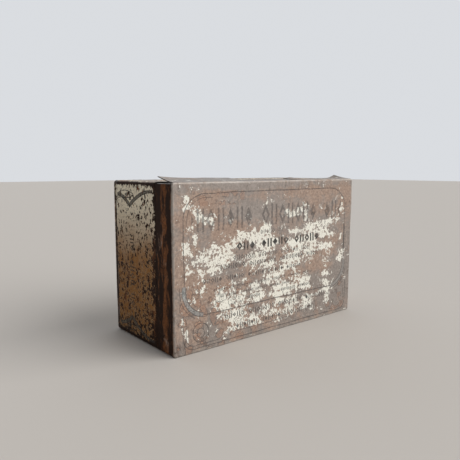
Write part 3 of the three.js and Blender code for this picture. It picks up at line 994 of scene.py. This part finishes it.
def lid_print_group():
    """What is printed on the lid: a rounded frame with ribbons at its lower corners, an outer frame,
    round petals, and rows of lozenges and bars. Ink is the fine dark line work, Bold the darkest row,
    Title the tall row, Band the ribbons and Petal the petals' fill."""
    (place,), result = new_group("Lid print", PRINTED, Place=None)
    x, y, z = millimetres(place)
    wander = (noise(place, 0.05, 21, detail=2) - 0.5) * 1.6
    u, v = x + WIDTH / 2 + wander, HEIGHT - z + wander
    frame_edge = framed(u, v, 5.2, 109.0, 4.7, 56.6, 11.5)
    ribbon = window(u, v, 2, 15, 43, 57.5).most(window(u, v, 99, 111, 43.5, 58))
    petal_field = cells(place, 0.2, 31) + (noise(place, 0.4, 32, detail=3) - 0.5) * 1.1
    grown = (v.rise(40, 48) * u.fall(34, 56)).most(window(u, v, 94, 110, 52, 70) * 0.8)
    grown = grown.most(window(u, v, 10, 38, 4, 10) * 0.8).most(window(u, v, 60, 92, 55, 69) * 0.5)
    grown = grown * y.fall(FRONT + 0.4, FRONT + 1)
    heavy = window(u, v, 106, 111, 24, 38)

    def strokes():
        """The fine lines, one after another."""
        yield line(frame_edge, 0.42) * (1 - ribbon) * (1 - heavy)
        yield line(frame_edge, 1.15) * heavy
        yield line(abs(frame_edge) - 0.95, 0.36) * ribbon
        yield line(frame_edge - 2.1, 0.3) * ribbon
        yield line(framed(u, v, 4.6, 111.0, 2.0, 70.4, 5), 0.4) * v.rise(54, 55.5)
        in_corners = v.rise(57, 58) * (1 - window(u, v, 24, 98, 55, 72))
        yield line(framed(u, v, 6.0, 109.6, 2.0, 69.0, 4), 0.28) * in_corners
        yield line(framed(u, v, 9.4, 17.6, 60, 68, 3.9), 0.42)
        yield line(framed(u, v, 11.6, 15.4, 62.2, 66, 1.9), 0.34)
        yield line(v - 67.4, 0.3) * window(u, v, 28, 69, 60, 72)
        yield line(frame_edge + 1.7, 0.26) * window(u, v, 2, 20, 2, 18)
        yield abs(petal_field - 0.4).fall(0.02, 0.07) * grown * 0.75
        yield abs(petal_field - 0.18).fall(0.015, 0.05) * grown * 0.5

    rows, past = lozenge_rows(u, v, LID_ROWS)
    is_title, is_bold = 1 - past[0], past[1] - past[2]
    return give(
        result, Ink=most_of(strokes()).most(rows * (1 - is_title - is_bold)), Bold=rows * is_bold,
        Title=rows * is_title, Petal=petal_field.fall(0.34, 0.44) * grown,
        Band=line(frame_edge, 1.7) * ribbon * (1 - u.rise(60, 61) * 0.55))


def bow(along, start, end, low, rise):
    """Height of a bowed stroke: it leaves low steeply at start and levels out, rise higher, at end."""
    share = ((along - start) / (end - start)).clamped()
    left = 1 - share
    return low - rise * (1 - left * left)


def wall_print_group():
    """What is printed on the case: on each end a bracket at the top and at the bottom, with a lens in it,
    and a column of bars between them, and on the long sides a plain double line."""
    (place,), result = new_group("Case print", PRINTED, Place=None)
    x, y, z = millimetres(place)
    end_face = abs(x).rise(WIDTH / 2 - 0.7, WIDTH / 2 - 0.4)
    u = BACK - y
    low_half = z.fall(HEIGHT / 2 - 0.1, HEIGHT / 2 + 0.1)
    v = (HEIGHT - z) * (1 - low_half) + (z + 1.5) * low_half
    right = bow(u, 15.5, 35.5, 12.0, 7.3)
    left = bow(u, 15.5, 3.8, 12.0, 5.0)
    is_left = u.fall(15.4, 15.6)
    height = left * is_left + right * (1 - is_left)
    reach = (abs(u - 15.5) / 20).clamped()
    thick = 0.95 - 0.6 * reach
    off = abs(v - height + thick)
    across = window(u, v, 3.8, 35.5, 3, 14)
    band = off.fall(thick - 0.05, thick + 0.05) * across
    outline_ink = line(off - thick, 0.5) * across
    lens = abs(u - 11.5) / 8
    lens_edge = abs(v - 6.1) - (1 - lens * lens).most(0) * 1.7
    lens_ink = line(lens_edge, 0.45) * window(u, v, 3.8, 19.2, 3.6, 9)
    diamond = (abs(u - 12.6) * 0.5 + abs(v - 6.2)).fall(0.75, 0.95)
    panel_line = line(framed(u, HEIGHT - z, 2.4, 10.4, 30, 46.5, 2.5), 0.3) * 0.6
    column = lozenge_row(HEIGHT - z, u, (24.0, 57.0, 15.2, 18.8, 3.2, 0.6, 5.0, 9.0))
    ends = most_of([outline_ink, lens_ink, diamond, panel_line, column]) * end_face
    inset = (WIDTH / 2 - abs(x)).least((u - 2.4).least(37.6 - u))
    long_side = line(inset - 2.6, 0.4).most(line(inset - 3.7, 0.22)) * (1 - end_face)
    return give(result, Ink=ends.most(long_side), Band=band * end_face)


def base_print_group():
    """What is printed on the base: a double frame round an open field with a lozenge in it."""
    (place,), result = new_group("Base print", PRINTED, Place=None)
    x, _, z = millimetres(place)
    u, v = x + WIDTH / 2, HEIGHT - z
    frame_edge = framed(u, v, 7.5, WIDTH - 7.5, 7.5, HEIGHT - 7.5, 6)
    lozenge = abs(u - WIDTH / 2) / 30 + abs(v - HEIGHT / 2) / 14
    lines = [line(frame_edge, 0.5), line(frame_edge + 1.6, 0.25), line((lozenge - 1) * 12, 0.5),
             line((lozenge - 0.86) * 12, 0.25)]
    return give(result, Ink=most_of(lines))


# ---------------------------------------------------------------- materials
def new_material(name):
    """A material, the inputs of its one Principled BSDF, and the piece's Object coordinates."""
    material = bpy.data.materials.new(name)
    material.use_nodes = True
    tree = material.node_tree
    place = Wire(tree.nodes.new("ShaderNodeTexCoord").outputs["Object"])
    return material, tree.nodes["Principled BSDF"].inputs, place


def field(place, name):
    """A field that sheet_metal wrote on the sheet, in the place's node tree."""
    node = place.tree.nodes.new("ShaderNodeAttribute")
    node.attribute_name = name
    return Wire(node.outputs["Fac"])


def bump(height):
    """A normal from a height in millimetres."""
    node = height.tree.nodes.new("ShaderNodeBump")
    for label, value in {"Strength": 1, "Distance": MM, "Height": height}.items():
        plug(value, node.inputs[label])
    return Wire(node.outputs[0])


def printed_tin(name, print_group, cream, aged_and_shaded_cream, lip, band, ink_colour, pits, ragged, ghost):
    """Printed tinplate: what is left of the cream ground and its ink, over stained metal. Old ink shows
    on the metal as a ghost."""
    material, finish, place = new_material(name)
    plug(0.12, finish["Specular IOR Level"])
    printed = use_group(print_group, Place=place)
    flaked = use_group(FLAKED, Place=place, Left=field(place, "print_left"), Ragged=ragged, Pits=pits)
    soot_and_shade = field(place, "soot_and_shade")
    metal = use_group(STAINED, Place=place, Brown=field(place, "brown"),
                      Varnish=field(place, "varnish"), Soot=soot_and_shade)
    age = noise(place, 0.09, 61, detail=4, roughness=0.6)
    # the cream browns and darkens where the field says: partly real browning, partly painted shade and
    # warm bounce light on the case's left end and foot
    ground = mixed((field(place, "age_and_shade") + (age - 0.5) * 0.5).clamped(), cream, aged_and_shaded_cream)
    spots = noise(place, 1.7, 62, detail=3, roughness=0.65).rise(0.55, 0.66)
    ground = mixed(spots * 0.6, ground, shade(122, 108, 94))
    worn = noise(place, 0.8, 63, detail=4, roughness=0.7)
    ink = (printed["Ink"].most(printed["Title"] * 0.75) * worn.rise(0.3, 0.5)).clamped()
    ground = mixed(printed["Band"] * 0.85, ground, band)
    ground = mixed(ink * 0.92, ground, ink_colour)
    ground = mixed(printed["Bold"] * 0.95, ground, shade(26, 26, 28))
    bare = mixed(printed["Petal"] * 0.4, metal["Color"], shade(174, 134, 110))
    bare = mixed(printed["Band"] * ghost, bare, band)
    bare = mixed(ink * ghost, bare, shade(74, 71, 70))
    bare = mixed(printed["Bold"] * worn.rise(0.34, 0.5) * 0.8, bare, shade(40, 38, 38))
    # Bright edges and folds: partly rubbed wear, partly a painted highlight along the folds.
    rubbed_and_highlight = use_group(WORN_EDGE_AND_HIGHLIGHT, Place=place, Width=1.3)["Rubbed"]
    bare = mixed(rubbed_and_highlight * (0.75 - soot_and_shade * 0.6), bare, shade(172, 167, 160))
    left = flaked["Print"] * (1 - rubbed_and_highlight)
    colour = mixed(left, bare, ground)
    colour = mixed(flaked["Lip"] * left * 0.25, colour, lip)
    plug(colour, finish["Base Color"])
    sheen = noise(place, 0.7, 64, detail=3)
    rough_metal = 0.42 + 0.22 * metal["Rust"] + 0.16 * (sheen - 0.5)
    roughness = rough_metal + (0.5 - rough_metal) * left
    plug(roughness.clamped(), finish["Roughness"])
    plug(((1 - left) * (0.42 - 0.34 * metal["Rust"] + 0.15 * rubbed_and_highlight)).clamped(), finish["Metallic"])
    height = left * 0.035 + metal["Grain"] * 0.03 * (1 - left) + sheen * 0.01
    plug(bump(height), finish["Normal"])
    return material


def bare_tin(name, dark):
    """Bare tinplate inside the tin: dull grey with cloudy brown stains."""
    material, finish, place = new_material(name)
    metal = use_group(STAINED, Place=place, Brown=0.12 + dark, Varnish=0.0, Soot=dark)
    cloud = noise(place, 0.06, 71, detail=4, roughness=0.6)
    spangle = noise(place, 0.3, 72, detail=2, stretch=(1, 0.3, 1))
    clean = mixed(spangle, shade(138, 136, 132), shade(178, 176, 172))
    colour = mixed((cloud * 1.3 - 0.15 + dark).clamped(), clean, metal["Color"])
    plug(colour, finish["Base Color"])
    plug((0.34 + 0.3 * cloud).clamped(), finish["Roughness"])
    plug((0.95 - 0.7 * metal["Rust"] * cloud).clamped(), finish["Metallic"])
    plug(bump(metal["Grain"] * 0.012 + cloud * 0.05), finish["Normal"])
    return material


def cut_edge():
    """The cut edge of the sheet: dark rusted steel with a few bright scratches."""
    material, finish, place = new_material("cut_edge")
    grain = noise(place, 2.2, 81, detail=3)
    plug(mixed(grain.rise(0.45, 0.75), shade(52, 40, 32), shade(124, 110, 98)), finish["Base Color"])
    plug(0.5 + 0.3 * grain, finish["Roughness"])
    plug(0.5, finish["Metallic"])
    plug(bump(grain * 0.03), finish["Normal"])
    return material


def solder():
    """Old solder: grey, lumpy and half bright."""
    material, finish, place = new_material("old_solder")
    lump = noise(place, 1.4, 91, detail=3)
    stain = noise(place, 0.2, 92, detail=4).rise(0.4, 0.62)
    colour = mixed(stain, shade(132, 130, 126), shade(66, 52, 42))
    plug(colour, finish["Base Color"])
    plug(0.36 + 0.3 * stain, finish["Roughness"])
    plug(0.85 - 0.6 * stain, finish["Metallic"])
    plug(bump(lump * 0.06), finish["Normal"])
    return material


# Brown cream for the foot and left end of the case: partly real browning, partly painted shade and warm
# bounce light.
AGED_AND_SHADED_CREAM = shade(146, 98, 44)
lid_printed = printed_tin(
    "lid_printed_tin", lid_print_group(), shade(236, 233, 221), AGED_AND_SHADED_CREAM, lip=shade(247, 245, 238),
    band=shade(150, 152, 150), ink_colour=shade(50, 51, 53), pits=0.8, ragged=1.32, ghost=0.74)
case_printed = printed_tin(
    "case_printed_tin", wall_print_group(), shade(240, 231, 208), AGED_AND_SHADED_CREAM, lip=shade(236, 222, 190),
    band=shade(74, 72, 66), ink_colour=shade(32, 30, 28), pits=1.0, ragged=1.05, ghost=0.4)
base_printed = printed_tin(
    "base_printed_tin", base_print_group(), shade(216, 208, 182), AGED_AND_SHADED_CREAM, lip=shade(226, 216, 188),
    band=shade(84, 84, 76), ink_colour=shade(44, 42, 40), pits=0.6, ragged=1.1, ghost=0.4)
inside_tin = bare_tin("inside_tin", 0.1)
hinge_tin = bare_tin("hinge_tin", 0.45)
edge_metal = cut_edge()


# ---------------------------------------------------------------- assembly
def place_piece(piece, body, node=None):
    """Says which body a piece rides on, and hides the CAD node that it replaces."""
    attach(piece, body)
    if node is not None:
        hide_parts(node)


place_piece(sheet_metal("lid_sheet", lid_skin(), [lid_printed, inside_tin, edge_metal], {
    "print_left": lid_print_left, "brown": lid_brown, "varnish": lid_varnish, "soot_and_shade": lid_soot,
    "age_and_shade": none_aged}),
    "lid", "lid_shell")
place_piece(sheet_metal("wall_sheet", wall_skin(), [case_printed, inside_tin, edge_metal], {
    "print_left": wall_print_left, "brown": wall_brown, "varnish": wall_varnish, "soot_and_shade": wall_soot_and_shade,
    "age_and_shade": wall_age_and_shade}),
    "case", "case_wall")
place_piece(sheet_metal("base_sheet", base_skin(), [base_printed, inside_tin, edge_metal], {
    "print_left": base_print_left, "brown": wall_brown, "varnish": base_soot, "soot_and_shade": base_soot,
    "age_and_shade": wall_age_and_shade}),
    "case", "base_panel")
place_piece(sheet_metal("collar_sheet", collar_skin(), [inside_tin, inside_tin, edge_metal]),
            "case", "throat_collar")
place_piece(bars_along_x("strap_sheet", strap_bars(), [hinge_tin]), "case", "hinge_strap")
place_piece(turned_along_x("pin_wire", pin_profile(), 24, PIN_Y, PIN_Z, [hinge_tin]),
            "case", "hinge_pin")
place_piece(tube_round("base_solder", *solder_path(), 10, [solder()]), "case")


# ---------------------------------------------------------------- studio
def make_floor():
    """A plain pale floor."""
    half = 3000.0
    points = np.array([[-half, -half, 0], [half, -half, 0], [half, half, 0], [-half, half, 0]])
    material, finish, _ = new_material("pale_floor")
    plug(shade(196, 190, 183), finish["Base Color"])
    plug(0.75, finish["Roughness"])
    floor = write_mesh("floor", points, [[0, 1, 2, 3]], [material])


def make_sun(name, toward, power, softness, colour):
    """A soft even light that shines from the direction toward."""
    lamp = bpy.data.lights.new(name, "SUN")
    lamp.energy = power
    lamp.angle = math.radians(softness)
    lamp.color = colour
    holder = bpy.data.objects.new(name, lamp)
    bpy.context.scene.collection.objects.link(holder)
    holder.rotation_euler = Vector(toward).to_track_quat("Z", "Y").to_euler()


def make_world():
    """A white surround: bright behind the tin for the camera, dimmer as light."""
    world = bpy.data.worlds.new("studio")
    world.use_nodes = True
    nodes = world.node_tree.nodes
    is_seen = Wire(nodes.new("ShaderNodeLightPath").outputs["Is Camera Ray"])
    colour = mixed(is_seen, (0.28, 0.285, 0.295, 1), (0.70, 0.72, 0.75, 1))
    plug(colour, nodes["Background"].inputs["Color"])
    bpy.context.scene.world = world


CAMERA_PLACE = (-161.5, -188.9, 77.55)
CAMERA_TURN = 39.27  # degrees to the right of +Y
CAMERA_TILT = 7.1  # degrees below level
CAMERA_LENS = 38.16  # focal length behind a sensor 36 mm wide


def make_camera():
    """The camera looks at the tin's left front corner from a little above its top."""
    camera = bpy.data.cameras.new("camera")
    camera.sensor_width = 36
    camera.lens = CAMERA_LENS
    camera.clip_start = 0.01
    camera.clip_end = 20
    holder = bpy.data.objects.new("camera", camera)
    bpy.context.scene.collection.objects.link(holder)
    holder.location = [distance * MM for distance in CAMERA_PLACE]
    holder.rotation_euler = (math.radians(90 - CAMERA_TILT), 0, math.radians(-CAMERA_TURN))
    bpy.context.scene.camera = holder


make_floor()
make_sun("key", (0.75, -0.95, 0.85), 2.75, 60, (1.0, 0.995, 0.985))
make_sun("fill", (0.25, 0.9, 0.8), 0.7, 90, (0.97, 0.985, 1.0))
make_world()
make_camera()
bpy.context.scene.view_settings.view_transform = "Standard"
